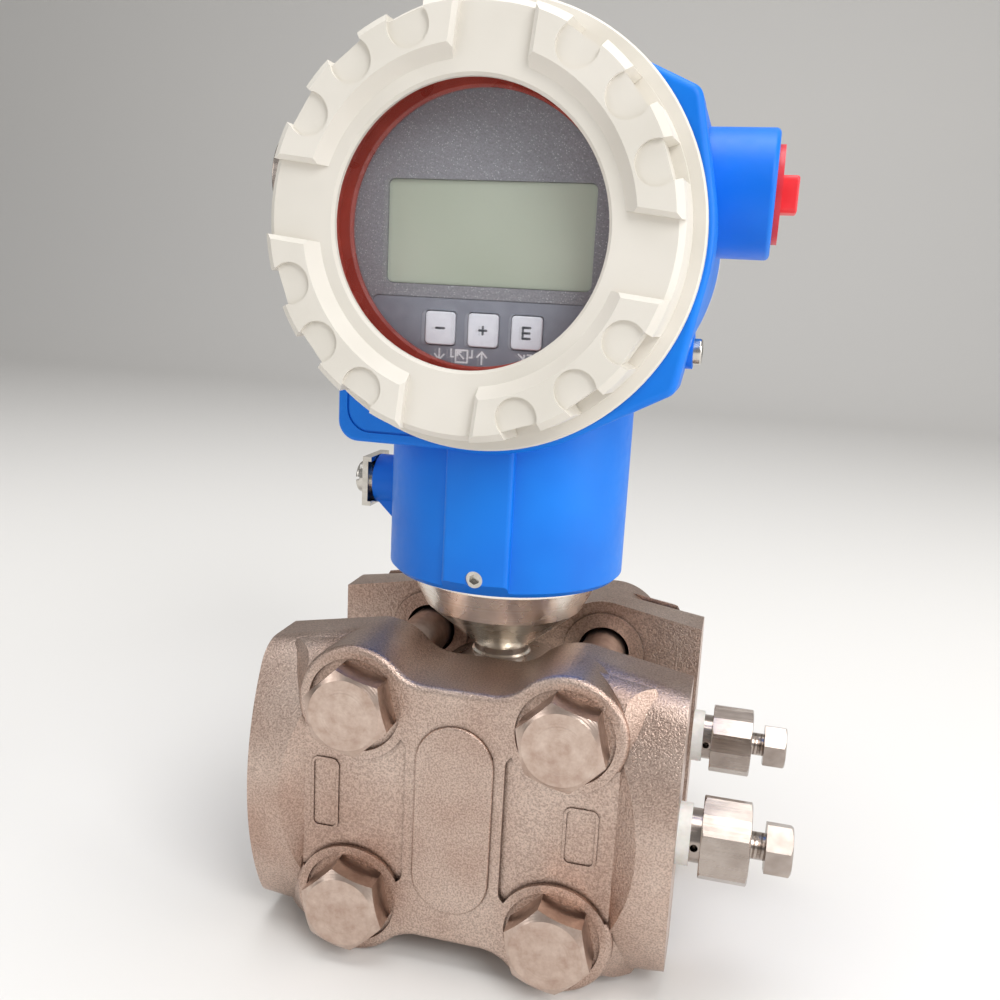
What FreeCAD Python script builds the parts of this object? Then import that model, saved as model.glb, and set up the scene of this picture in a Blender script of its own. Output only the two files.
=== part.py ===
import FreeCAD, Part
import math
import os

# Differential pressure transmitter: a stainless measuring cell clamped between two cast process
# flanges, with a turned neck that carries a two-chamber die-cast housing. Millimetres.
# Origin: centre of the process mounting pattern, on the left end face of the flanges.
# +X runs along the flanges to the vent end, +Y to the rear, +Z up.

V = FreeCAD.Vector
X, Y, Z = V(1, 0, 0), V(0, 1, 0), V(0, 0, 1)

# ---------------------------------------------------------------- driving dimensions
# process connection
port_spacing = 54.0          # front port axis to rear port axis
port_bore_d = 11.2           # tapped 1/4-18 NPT
port_depth = 16.0
port_drill_d = 7.0           # from the port to the pressure chamber
stud_spacing = 41.3          # the two tapped holes of each flange, above and below the port
stud_hole_d = 9.9            # tapped 7/16-20 UNF
stud_hole_depth = 14.5
# flange casting
flange_length = 100.0
flange_thickness = 23.0
waist_half_height = 31.5
end_half_height = 34.0
end_bulge = 2.5              # the ends crown forward of the ribbed face by this much
end_crown_half = 17.0        # half height over which the crown stands proud
end_corner_r = 9.0
end_block_length = 8.0       # full crown, from the end face
end_ramp_length = 5.0        # slope from the crown down to the panel
boss_r = 14.0                # round boss about each clamp bolt
boss_blend_r = 10.0
face_edge_r = 1.6
flank_drop = 7.0             # 45 degree slope from the boss to the crowned end
flank_lift = 4.0             # the flanks may stand this far in front of the crown
panel_depth = 1.2
panel_half_height = 18.5
panel_inner_x = 11.6         # from the middle of the flange
panel_corner_r = 3.0
boss_rim_r = 13.2            # edge of the rim that stands between bolt and panel
spot_face_r = 11.2
pad_half_width = 9.2         # long oval pad in the middle of the face
pad_half_height = 23.2
pad_height = 0.8
outline_height = 0.35        # small raised outlines on the side panels
outline_width = 0.6
outline_corner_r = 1.8
outline_left = (-35.0, -28.2, -8.0, 10.0)     # x from, x to, z from, z to
outline_right = (25.4, 33.2, -6.0, 8.0)
ring_boss_r = 10.8           # raised ring about the bolt on the inner face
ring_boss_height = 0.8
# clamp bolts
bolt_pitch = 49.0
bolt_d = 12.0
bolt_hole_d = 14.0
bolt_head_af = 18.0
bolt_head_h = 7.5
bolt_face_d = 16.6           # flat left by the chamfer of the head
bolt_length = 90.0
nut_h = 10.0
# measuring cell
cell_thickness = 34.0
cell_r = 25.5
chamber_r = 17.5
chamber_depth = 3.0
seal_groove_r = 19.0
seal_width = 3.0
seal_height = 2.0
diaphragm_r = 17.0
diaphragm_t = 0.3
# neck
neck_r = 7.0
neck_foot_z = 20.5
cone_foot_z = 30.0
cone_waist_r = 20.0          # where the steep lower cone turns into the flatter one
cone_waist_z = 41.0
cone_r = 24.0
cone_top_z = 48.7
cone_land = 1.5
spigot_r = 18.0
spigot_length = 20.0
neck_bore_r = 4.0
lock_groove_depth = 2.0
lock_groove_width = 5.0
neck_seal_r = 1.3            # section radius of the neck seal ring
# vent valves
vent_hex_af = 18.0
vent_hex_length = 10.7
vent_collar_d = 12.0
vent_collar_length = 5.2     # from the flange end to the hexagon, tape included
vent_tilt = 9.0              # degrees the hexagons are turned about their axis
tape_d = 13.9
tape_length = 2.9
vent_stub_length = 14.0
vent_bore_d = 6.2
vent_seat_d = 3.2
vent_seat_x = 2.2            # seat behind the end face
vent_ball_d = 4.6
stem_d = 6.0
stem_gap = 3.4               # stem seen between the two hexagons
stem_hex_af = 10.5
stem_hex_length = 5.8
bleed_hole_d = 1.8
# housing
housing_foot_z = 50.5
drum_z = 130.3
barrel_r = 29.3              # upright barrel under the drum
barrel_top_z = 100.0
barrel_bevel = 1.2
rib_left = -8.0
rib_right = 7.6
rib_proud = 2.0
body_r = 45.0
body_half_depth = 34.5
body_corner = (41.3, 28.6)   # cast corner at the upper right, over the full depth
rim_r = 46.3                 # wider front rim of the drum body, with a second corner
rim_depth = 11.0
rim_corner = (41.2, -30.4)
top_slant = 23.8             # degrees, flat cast face at the upper right
top_slant_reach = 42.75      # from the drum axis to that face
corner_fillet = 3.0
body_edge = 1.6
collar_r = 38.5              # threaded collar that a cover screws over
collar_length = 11.0
chamber_bore_r = 36.0
chamber_wall_front = -14.0
chamber_wall_rear = -8.0
lug_left = -32.0             # cast lug below the drum at the left, and its line groove
lug_right = -4.5
lug_foot_z = 84.4
lug_rear_y = -8.0
lug_corner_r = 4.5
lug_groove_inset = 2.2
entry_boss_r = 14.2
entry_boss_reach = 57.0      # from the upright axis to the end of either boss
entry_z_offset = 12.3        # above the drum axis
entry_bore_r = 9.2           # M20 x 1.5
set_screw_z_offset = 4.3
set_screw_d = 4.0
lock_screw_y = -24.0
lock_screw_z = -22.0         # from the drum axis
lock_screw_r = 1.5
lock_head_r = 2.7
lock_head_h = 1.8
lock_wall_x = 43.6           # end of the small boss that the screw head sits on
# ground terminal on the barrel
ground_y = 8.0
ground_z = 68.0
ground_boss_r = 6.5
ground_reach = 37.5
ground_web = 8.0
ground_screw_r = 2.5
ground_head_r = 4.2
ground_head_h = 3.0
ground_washer_r = 4.8
ground_washer_t = 1.2
ground_clamp_t = 1.5
ground_clamp_w = 13.0
# covers
cover_r = 45.0
cover_seat_gap = 0.5         # between the cover mouth and the drum body
cover_base_t = 3.4           # from the end of the drum body to the plane of the base ring
cover_plate_rise = 14.3      # from the end of the drum body to the plane of the lip and the gaps
segment_rise = 2.5           # from that plane to the plane of the raised segments
cover_top_r = 41.6
cover_inner_r = 30.6
cover_gap_width = 14.6
cover_turn = -6.4            # degrees, how far the cover was screwed home
cover_base_bevel = 0.4
cover_bevel = 1.5
cover_wall_bevel = 0.9
notch_r = 4.2
notch_pitch_r = 37.8
notch_step = 19.6
notch_depth = 0.9
notch_chord_r = 39.7
window_r = 27.5
window_lip = 1.6
window_pocket_r = 31.5
window_skirt_r = 35.2
glass_r = 29.8
glass_t = 6.0
gasket_bead = 1.2
gasket_inner_r = 27.2
retainer_t = 2.0
cover_thread_gap = 0.3
cover_seal_r = 1.0           # section radius of the cover seal ring
# display
display_rise = 3.9           # from the end of the drum body to the plane of the display frame
display_r = 30.0
display_wall = 2.0
display_depth = 8.9
lcd_width = 43.4
lcd_height = 20.9
lcd_x = 1.6
lcd_z = -0.6
lcd_recess = 0.8
lcd_t = 2.4
key_pitch = 9.2
key_x = 1.5
key_z = -19.8
key_width = 6.4
key_height = 6.8
key_gap = 0.2
key_proud = 0.5
key_travel = 0.4
key_panel_t = 0.3
key_panel_left = -23.0
key_panel_right = 24.6
key_panel_top = -13.6        # from the drum axis
dome_foot_r = 2.8
dome_top_r = 1.6
spacer_x = 18.0              # LCD spacers, from the middle of the LCD
spacer_half_width = 2.0
spacer_half_height = 8.0
board_t = 1.6
board_r = 28.0
terminal_pitch = 15.0
terminal_block_half = 24.0
terminal_block_foot = -14.0  # from the drum axis
terminal_block_top = 8.0
terminal_base_t = 8.0
terminal_wall_t = 6.0        # partitions in front of the base
terminal_bay_half = 4.5
terminal_bay_top = 1.0
terminal_screw_z = -6.0
terminal_screw_r = 1.6
terminal_head_r = 3.2
terminal_head_h = 2.4
terminal_plate = 7.6         # square clamping plate
terminal_plate_t = 1.2
# plugs
transit_flange_d = 21.5
transit_flange_t = 1.3
transit_shank_d = 18.0
transit_shank_length = 9.0
transit_tab = 8.1
transit_tab_length = 3.6
plug_collar_r = 11.5         # low plug with a hexagon socket
plug_collar_t = 2.0
plug_socket_af = 10.0
plug_socket_depth = 6.0
plug_shank_length = 10.0
seal_washer_r = 12.0
seal_washer_t = 1.0

# named clearances
fit_gap = 0.05               # a turned fit
slide_gap = 0.3              # between parts that move past each other
seat_gap = 0.1               # a soft ring in its groove

# ---------------------------------------------------------------- derived places
axis_x = flange_length / 2.0
port_y = port_spacing / 2.0
inner_y = cell_thickness / 2.0
face_y = inner_y + flange_thickness
seat_y = face_y - panel_depth
crown_sag = end_bulge * (end_half_height / end_crown_half) ** 2
crown_r = (end_half_height ** 2 + crown_sag ** 2) / (2.0 * crown_sag)
bolt_spots = [(sx * bolt_pitch / 2.0, sz * bolt_pitch / 2.0) for sx in (-1, 1) for sz in (-1, 1)]
shoulder_z = cone_top_z + cone_land
vent_x = flange_length
entry_z = drum_z + entry_z_offset
cover_shoulder = body_half_depth + cover_base_t
cover_plate = body_half_depth + cover_plate_rise
cover_top = cover_plate + segment_rise
display_front = body_half_depth + display_rise
terminal_xs = (-terminal_pitch, 0.0, terminal_pitch)
key_spots = {"key_minus": key_x - key_pitch, "key_plus": key_x, "key_enter": key_x + key_pitch}


# ---------------------------------------------------------------- shape helpers
def at(x, y, z):
    """A point given from the upright axis of the transmitter."""
    return V(axis_x + x, y, z)


def drum(x, y, z):
    """A point given from the middle of the drum."""
    return V(axis_x + x, y, drum_z + z)


def rod(radius, start, direction, length):
    return Part.makeCylinder(radius, length, start, direction)


def tube(outer, inner, start, direction, length):
    return rod(outer, start, direction, length).cut(rod(inner, start, direction, length))


def block(x0, x1, y0, y1, z0, z1):
    """A box between two corners given from the upright axis."""
    return Part.makeBox(x1 - x0, y1 - y0, z1 - z0, at(x0, y0, z0))


def hexagon(across_flats, start, direction, length, turn=0.0):
    """A hexagonal prism; turn is in degrees about its own axis."""
    radius = across_flats / math.sqrt(3.0)
    side = Z if abs(direction.z) < 0.5 else X
    other = direction.cross(side)
    points = []
    for k in range(7):
        angle = math.radians(60.0 * k + turn)
        points.append(start + side * (radius * math.cos(angle)) + other * (radius * math.sin(angle)))
    return Part.Face(Part.makePolygon(points)).extrude(direction * length)


def chamfered_hexagon(across_flats, face_d, start, direction, length, turn=0.0):
    """A hexagon whose far corners are turned off at 30 degrees to a round flat of face_d."""
    corner_r = across_flats / math.sqrt(3.0)
    drop = (corner_r - face_d / 2.0) * math.tan(math.radians(30.0))
    straight = rod(corner_r + 1.0, start, direction, length - drop)
    cap = Part.makeCone(corner_r, face_d / 2.0, drop, start + direction * (length - drop), direction)
    return hexagon(across_flats, start, direction, length, turn).common(straight.fuse(cap))


def revolved(profile, origin, radial, axial):
    """A closed profile of (radius, height) points turned about the axis through origin."""
    points = [origin + radial * r + axial * h for r, h in profile]
    return Part.Face(Part.makePolygon(points + points[:1])).revolve(origin, axial, 360.0)


def rounded_rectangle(x0, x1, z0, z1, radius, y0, y1):
    """An upright rounded rectangle, from the upright axis, between two depths."""
    plate = block(x0, x1, y0, y1, z0, z1)
    return fillet_along(plate, Y, radius)


def fillet_along(solid, direction, radius, pick=lambda p: True):
    """Round the straight edges that run along a direction and whose middle passes pick."""
    edges = []
    for edge in solid.Edges:
        if edge.Curve.TypeId != "Part::GeomLine":
            continue
        tangent = edge.tangentAt(edge.FirstParameter)
        if abs(abs(tangent.dot(direction)) - 1.0) < 1e-6 and pick(middle(edge)):
            edges.append(edge)
    return solid.makeFillet(radius, edges)


def middle(edge):
    return edge.valueAt((edge.FirstParameter + edge.LastParameter) / 2.0)


def mirrored(solid):
    """The same piece on the rear side, seen in the plane Y = 0."""
    return solid.mirror(V(0, 0, 0), Y)


def all_in_one(solids):
    return solids[0].multiFuse(solids[1:]).removeSplitter()


# ---------------------------------------------------------------- process flanges
def flange_end_section(x, top, lift):
    """Section of a flange end up to a height: crowned front, round corners and a flat inner face."""
    hub = crown_r - face_y - end_bulge - lift
    corner_z = top - end_corner_r
    corner_y = hub - math.sqrt((crown_r - end_corner_r) ** 2 - corner_z ** 2)
    lean = math.atan2(corner_z, hub - corner_y)
    half_way = (lean + math.pi / 2.0) / 2.0
    start = (hub - crown_r * math.cos(lean), crown_r * math.sin(lean))
    bend = (corner_y - end_corner_r * math.cos(half_way), corner_z + end_corner_r * math.sin(half_way))
    edges = [Part.Arc(V(x, start[0], -start[1]), V(x, hub - crown_r, 0), V(x, start[0], start[1])).toShape()]
    edges.append(Part.Arc(V(x, start[0], start[1]), V(x, bend[0], bend[1]), V(x, corner_y, top)).toShape())
    edges.append(Part.makeLine(V(x, corner_y, top), V(x, -inner_y, top)))
    edges.append(Part.makeLine(V(x, -inner_y, top), V(x, -inner_y, -top)))
    edges.append(Part.makeLine(V(x, -inner_y, -top), V(x, corner_y, -top)))
    edges.append(Part.Arc(V(x, corner_y, -top), V(x, bend[0], -bend[1]), V(x, start[0], -start[1])).toShape())
    return Part.Wire(edges)


def crowned_end(lift=0.0):
    """The left end, drawn out in a straight line to the bosses; lift moves its front forward."""
    run, rise = axis_x - bolt_pitch / 2.0, end_half_height - bolt_pitch / 2.0
    turn = math.atan2(rise, run) + math.acos(boss_r / math.hypot(run, rise))
    blend_x = run - boss_r * math.cos(turn)
    blend_z = bolt_pitch / 2.0 + boss_r * math.sin(turn)
    sections = [flange_end_section(0.0, end_half_height, lift), flange_end_section(blend_x, blend_z, lift)]
    return Part.makeLoft(sections, True, True)


def flange_end():
    """The left end with the slope down to the panel and a cast flank beside each of its bosses."""
    foot = V(end_block_length + end_ramp_length, -seat_y, -flange_length)
    rise = V(-end_ramp_length, -(end_bulge + panel_depth), 0)
    far = foot + rise * 3.0
    wedge = [foot, far, V(flange_length, far.y, foot.z), V(flange_length, foot.y, foot.z)]
    end = crowned_end().cut(Part.Face(Part.makePolygon(wedge + wedge[:1])).extrude(Z * 2 * flange_length))
    outer = crowned_end(flank_lift)
    flanks = []
    for bz in (-bolt_pitch / 2.0, bolt_pitch / 2.0):
        start = at(-bolt_pitch / 2.0, -face_y + face_edge_r, bz)
        flanks.append(Part.makeCone(boss_r - slide_gap, boss_r + flank_drop, flank_drop, start, Y).common(outer))
    return [end] + flanks


def flange_blank():
    """The front casting before machining: ribbed waist, four bolt bosses and two crowned ends."""
    reach = bolt_pitch / 2.0 + boss_r * 0.82
    waist = block(-reach, reach, -face_y, -inner_y, -waist_half_height, waist_half_height)
    bosses = [rod(boss_r, at(bx, -face_y, bz), Y, flange_thickness) for bx, bz in bolt_spots]
    core = all_in_one([waist] + bosses)
    core = fillet_along(core, Y, boss_blend_r, lambda p: abs(p.x - axis_x) < bolt_pitch / 2.0)
    rim = [e for e in core.Edges if middle(e).y < -face_y + 0.01]
    core = core.makeFillet(face_edge_r, rim)
    left = flange_end()
    right = [piece.mirror(at(0, 0, 0), X) for piece in left]
    return all_in_one([core] + left + right)


def side_panel(side):
    """Sunk panel between the bolt bosses; it ends at the foot of the slope of the crowned end."""
    deep = -face_y - end_bulge - 1.0
    reach = axis_x - end_block_length
    x0, x1 = sorted((side * panel_inner_x, side * reach))
    panel = block(x0, x1, deep, -seat_y, -panel_half_height, panel_half_height)
    inner = axis_x + side * panel_inner_x
    panel = fillet_along(panel, Y, panel_corner_r, lambda p: abs(p.x - inner) < 0.01)
    rims = [rod(boss_rim_r, at(bx, deep, bz), Y, flange_length) for bx, bz in bolt_spots]
    slope = V(side * end_ramp_length, -(end_bulge + panel_depth), 0)
    foot = at(side * (reach - end_ramp_length), -seat_y, -flange_length)
    guard = [foot, foot + slope * 4.0, foot + slope * 4.0 + X * side * flange_length]
    guard.append(foot + X * side * flange_length)
    return panel.cut(rims + [Part.Face(Part.makePolygon(guard + guard[:1])).extrude(Z * 2 * flange_length)])


def raised_outline(x0, x1, z0, z1):
    """Thin raised outline of a rounded rectangle, bare inside, on the floor of a side panel."""
    front = -seat_y - outline_height
    r = outline_corner_r
    w = outline_width
    outer = rounded_rectangle(x0, x1, z0, z1, r, front, -seat_y + 1.0)
    return outer.cut(rounded_rectangle(x0 + w, x1 - w, z0 + w, z1 - w, r - w, front - 1.0, -seat_y + 1.0))


def raised_pad():
    """Long oval pad in the middle of the face, with a soft edge."""
    pad = rounded_rectangle(-pad_half_width, pad_half_width, -pad_half_height, pad_half_height,
                            pad_half_width - 0.01, -face_y - pad_height, -face_y + 1.0)
    rim = [e for e in pad.Edges if middle(e).y < -face_y - pad_height + 0.01]
    return pad.makeFillet(pad_height * 0.7, rim)


def flange():
    """The finished front flange."""
    outlines = [raised_outline(*outline_left), raised_outline(*outline_right)]
    rings = [rod(ring_boss_r, at(bx, -inner_y - 1.0, bz), Y, 1.0 + ring_boss_height) for bx, bz in bolt_spots]
    body = flange_blank().cut([side_panel(-1), side_panel(1)])
    body = all_in_one([body, raised_pad()] + outlines + rings)
    tools = []
    for bx, bz in bolt_spots:
        spot = at(bx, -face_y - end_bulge - 1.0, bz)
        tools.append(rod(spot_face_r, spot, Y, end_bulge + 1.0 + panel_depth))
        tools.append(rod(bolt_hole_d / 2.0, spot, Y, flange_thickness + 10.0))
    tools.append(rod(chamber_r, at(0, -inner_y - chamber_depth, 0), Y, chamber_depth))
    tools.append(rod(cell_r + slide_gap, at(0, -inner_y, 0), Y, ring_boss_height + 1.0))
    groove = tube(seal_groove_r + seal_width, seal_groove_r, at(0, -inner_y - seal_height, 0), Y, seal_height)
    tools.append(groove)
    for start, direction in ((V(0, -port_y, 0), X), (V(flange_length, -port_y, 0), X * -1)):
        tools.append(rod(port_bore_d / 2.0, start, direction, port_depth))
        tools.append(rod(port_drill_d / 2.0, start, direction, axis_x - chamber_r + 6.0))
    for side in (-1, 1):
        hole = V(0, -port_y, side * stud_spacing / 2.0)
        tools.append(rod(stud_hole_d / 2.0, hole, X, stud_hole_depth))
    tools.append(rod(port_drill_d / 2.0, at(-chamber_r + 6.0, -port_y, 0), Y, port_y - inner_y))
    tools.append(rod(port_drill_d / 2.0, at(chamber_r - 6.0, -port_y, 0), Y, port_y - inner_y))
    return body.cut(tools).removeSplitter()


def clamp_bolt(bx, bz):
    """Hexagon head bolt through both flanges, head at the front."""
    head = chamfered_hexagon(bolt_head_af, bolt_face_d, at(bx, -seat_y, bz), Y * -1, bolt_head_h, 14.0)
    shank = rod(bolt_d / 2.0, at(bx, -seat_y, bz), Y, bolt_length)
    tip = [e for e in shank.Edges if abs(middle(e).y - (bolt_length - seat_y)) < 0.01]
    return head.fuse(shank.makeChamfer(1.0, tip[:1]))


def clamp_nut(bx, bz):
    nut = chamfered_hexagon(bolt_head_af, bolt_face_d + 0.6, at(bx, seat_y, bz), Y, nut_h, 8.0)
    return nut.cut(rod(bolt_d / 2.0 + fit_gap, at(bx, seat_y, bz), Y, nut_h))


# ---------------------------------------------------------------- measuring cell and neck
def cell_body():
    """Welded capsule between the flanges, with a seat for each diaphragm and a socket on top."""
    body = rod(cell_r, at(0, -inner_y, 0), Y, cell_thickness)
    socket = rod(neck_r + fit_gap, at(0, 0, neck_foot_z), Z, cell_r)
    flat = rod(diaphragm_r + 0.4, at(0, -inner_y, 0), Y, 0.8)
    return body.cut([socket, flat, mirrored(flat)])


def diaphragm():
    """Thin corrugated disc welded over the front seat of the cell."""
    outer = diaphragm_r
    upper = []
    steps = 16
    for k in range(steps + 1):
        r = outer * k / steps
        ripple = 0.12 if k % 2 else 0.0
        upper.append((r, fit_gap + diaphragm_t + ripple))
    lower = [(r, h - diaphragm_t) for r, h in reversed(upper)]
    return revolved(upper + lower, at(0, -inner_y + 0.8, 0), X, Y * -1)


def cell_seal():
    """Flat seal ring in the groove of the front flange."""
    start = at(0, -inner_y - seal_height + seat_gap, 0)
    return tube(seal_groove_r + seal_width - seat_gap, seal_groove_r + seat_gap, start, Y,
                seal_height - seat_gap)


def neck_adapter():
    """Turned stainless neck: stub, short collar, cone, flat land and spigot for the housing."""
    groove_z = housing_foot_z + set_screw_z_offset - lock_groove_width / 2.0
    seal_z = groove_z + lock_groove_width + 2.0
    top = shoulder_z + spigot_length
    seal_floor = spigot_r - 2 * neck_seal_r - 0.3
    profile = [(neck_bore_r, neck_foot_z), (neck_r, neck_foot_z), (neck_r, cone_foot_z - 3.2)]
    profile += [(neck_r + 0.6, cone_foot_z - 2.8), (neck_r + 0.6, cone_foot_z - 2.0)]
    profile += [(neck_r, cone_foot_z - 1.6), (neck_r, cone_foot_z)]
    profile += [(cone_waist_r, cone_waist_z), (cone_r, cone_top_z), (cone_r, shoulder_z)]
    profile += [(spigot_r, shoulder_z)]
    profile += [(spigot_r, groove_z), (spigot_r - lock_groove_depth, groove_z)]
    profile += [(spigot_r - lock_groove_depth, groove_z + lock_groove_width)]
    profile += [(spigot_r, groove_z + lock_groove_width), (spigot_r, seal_z), (seal_floor, seal_z)]
    profile += [(seal_floor, seal_z + 2 * neck_seal_r + 0.4), (spigot_r, seal_z + 2 * neck_seal_r + 0.4)]
    profile += [(spigot_r, top - 1.0), (spigot_r - 1.0, top), (neck_bore_r, top)]
    return revolved(profile, at(0, 0, 0), X, Z)


def neck_seal():
    groove_z = housing_foot_z + set_screw_z_offset + lock_groove_width / 2.0
    z = groove_z + 2.0 + neck_seal_r + 0.2
    return Part.makeTorus(spigot_r - neck_seal_r - fit_gap, neck_seal_r, at(0, 0, z), Z)


# ---------------------------------------------------------------- vent valves
def vent_body(y):
    """Bleed valve body: threaded stub, collar with a side bleed hole, and a hexagon."""
    end = V(vent_x, y, 0)
    hex_start = end + X * vent_collar_length
    stub = rod(port_bore_d / 2.0 - fit_gap, end - X * vent_stub_length, X, vent_stub_length)
    collar = rod(vent_collar_d / 2.0, end, X, vent_collar_length)
    hexa = chamfered_hexagon(vent_hex_af, vent_hex_af - 0.4, hex_start, X, vent_hex_length, vent_tilt)
    back = chamfered_hexagon(vent_hex_af, vent_hex_af - 0.4, hex_start + X * vent_hex_length, X * -1,
                             vent_hex_length, vent_tilt)
    seat = end + X * vent_seat_x
    bore = rod(vent_bore_d / 2.0, seat, X, vent_collar_length + vent_hex_length)
    passage = rod(vent_seat_d / 2.0, end - X * (vent_stub_length + 1.0), X, vent_stub_length + 20.0)
    bleed = rod(bleed_hole_d / 2.0, end + X * (vent_collar_length - 1.3), Y * -1, vent_hex_af)
    return stub.fuse([collar, hexa.common(back)]).cut([bore, passage, bleed])


def vent_tape(y):
    """Thread sealing tape standing out of the port."""
    end = V(vent_x, y, 0)
    return tube(tape_d / 2.0, vent_collar_d / 2.0 + fit_gap, end, X, tape_length)


def vent_ball_centre(y):
    """Where the ball rests on the rim of its seat."""
    drop = math.sqrt((vent_ball_d / 2.0) ** 2 - (vent_seat_d / 2.0) ** 2)
    return V(vent_x + vent_seat_x + drop + fit_gap, y, 0)


def vent_ball(y):
    return Part.makeSphere(vent_ball_d / 2.0, vent_ball_centre(y))


def vent_screw(y):
    """Stem that holds the ball down, with a small hexagon outside."""
    foot = vent_ball_centre(y) + X * (vent_ball_d / 2.0)
    hex_start = V(vent_x + vent_collar_length + vent_hex_length + stem_gap, y, 0)
    stem = rod(stem_d / 2.0, foot, X, hex_start.x - foot.x)
    head = chamfered_hexagon(stem_hex_af, stem_hex_af - 0.3, hex_start, X, stem_hex_length, vent_tilt)
    return stem.fuse(head)


# ---------------------------------------------------------------- housing
def drum_outline(y, radius, corners):
    """Round plate drawn out to cast corners: tangent lines run from the circle to each corner."""
    stops = []
    for cx, cz in corners:
        angle = math.atan2(cz, cx)
        spread = math.acos(radius / math.hypot(cx, cz))
        stops.append((angle - spread, angle + spread, drum(cx, y, cz)))
    stops.sort(key=lambda s: s[0])

    def on_circle(angle):
        return drum(radius * math.cos(angle), y, radius * math.sin(angle))

    edges = []
    for k, (before, after, corner) in enumerate(stops):
        follow = stops[(k + 1) % len(stops)][0]
        if follow < after:
            follow += 2 * math.pi
        edges.append(Part.makeLine(on_circle(before), corner))
        edges.append(Part.makeLine(corner, on_circle(after)))
        edges.append(Part.Arc(on_circle(after), on_circle((after + follow) / 2.0), on_circle(follow)).toShape())
    return Part.Face(Part.Wire(edges))


def drum_block(y, depth, radius, corners):
    """A length of the drum body with its corners rounded and the flat cast face at the upper right."""
    body = drum_outline(y, radius, corners).extrude(Y * depth)
    lean = math.radians(top_slant)
    points = []
    for along, out in ((radius, 0.0), (-radius, 0.0), (-radius, radius), (radius, radius)):
        x = math.sin(lean) * (top_slant_reach + out) + math.cos(lean) * along
        z = math.cos(lean) * (top_slant_reach + out) - math.sin(lean) * along
        points.append(drum(x, y, z))
    body = body.cut(Part.Face(Part.makePolygon(points + points[:1])).extrude(Y * depth))
    return fillet_along(body, Y, corner_fillet, lambda p: math.hypot(p.x - axis_x, p.z - drum_z) > radius + 1.0)


def drum_body():
    """Middle of the drum with its wider front rim; the outer edges of both ends are broken."""
    rim = drum_block(-body_half_depth, rim_depth, rim_r, [body_corner, rim_corner])
    rim = rim.makeFillet(body_edge, [e for e in rim.Edges if middle(e).y < -body_half_depth + 0.01])
    deep = drum_block(-body_half_depth + body_edge, 2 * body_half_depth - body_edge, body_r, [body_corner])
    deep = deep.makeFillet(body_edge, [e for e in deep.Edges if middle(e).y > body_half_depth - 0.01])
    return rim.fuse(deep)


def barrel():
    """Upright barrel over the neck, with the raised rib at the front that takes the set screw."""
    foot = at(0, 0, housing_foot_z)
    height = barrel_top_z - housing_foot_z
    rib_r = barrel_r + rib_proud
    rib = rod(rib_r, foot, Z, height)
    rib = rib.common(block(rib_left, rib_right, -rib_r, 0, housing_foot_z, barrel_top_z))
    rib = fillet_along(rib, Z, 1.4, lambda p: p.y < -barrel_r * 0.8)
    wide = rib_r + 2 * barrel_bevel
    profile = [(0, housing_foot_z), (barrel_r - barrel_bevel, housing_foot_z)]
    profile += [(wide, housing_foot_z + wide - barrel_r + barrel_bevel), (wide, barrel_top_z), (0, barrel_top_z)]
    return rod(barrel_r, foot, Z, height).fuse(rib).common(revolved(profile, at(0, 0, 0), X, Z))


def cover_lug():
    """Cast lug below the drum at the left front, with a fine line groove inside its edge."""
    top = drum_z - body_r * 0.5
    lug = block(lug_left, lug_right, -body_half_depth, lug_rear_y, lug_foot_z, top)
    corner = at(lug_left, 0, lug_foot_z)
    lug = fillet_along(lug, Y, lug_corner_r, lambda p: abs(p.x - corner.x) + abs(p.z - corner.z) < 0.01)
    front = [e for e in lug.Edges if abs(middle(e).y + body_half_depth) < 0.01 and middle(e).z < top - 1.0]
    lug = lug.makeFillet(0.9, front)
    lines = []
    for inset in (lug_groove_inset, lug_groove_inset + 0.5):
        line = block(lug_left + inset, lug_right + 8.0, -body_half_depth - 1.0, 0.5 - body_half_depth,
                     lug_foot_z + inset, top + 8.0)
        line = fillet_along(line, Y, lug_corner_r - inset + 3.0,
                            lambda p, i=inset: abs(p.x - corner.x - i) + abs(p.z - corner.z - i) < 0.01)
        lines.append(line)
    return lug.cut(lines[0].cut(lines[1]))


def entry_boss(side):
    """Round boss for a cable entry, with a rounded rim."""
    boss = rod(entry_boss_r, at(side * body_r * 0.6, 0, entry_z), X * side, entry_boss_reach - body_r * 0.6)
    rim = [e for e in boss.Edges if abs(abs(middle(e).x - axis_x) - entry_boss_reach) < 0.01]
    return boss.makeFillet(1.2, rim)


def ground_boss():
    """Small boss at the left of the barrel for the ground terminal, with a web under it."""
    boss = rod(ground_boss_r, at(-barrel_r * 0.8, ground_y, ground_z), X * -1, ground_reach - barrel_r * 0.8)
    half = ground_web / 2.0
    points = [(-barrel_r * 0.8, housing_foot_z + 3.0), (-barrel_r + 1.0, housing_foot_z + 4.0)]
    points += [(-ground_reach, ground_z - ground_boss_r * 0.7), (-ground_reach, ground_z)]
    points += [(-barrel_r * 0.8, ground_z)]
    outline = [at(x, ground_y - half, z) for x, z in points]
    return boss.fuse(Part.Face(Part.makePolygon(outline + outline[:1])).extrude(Y * ground_web))


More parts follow.
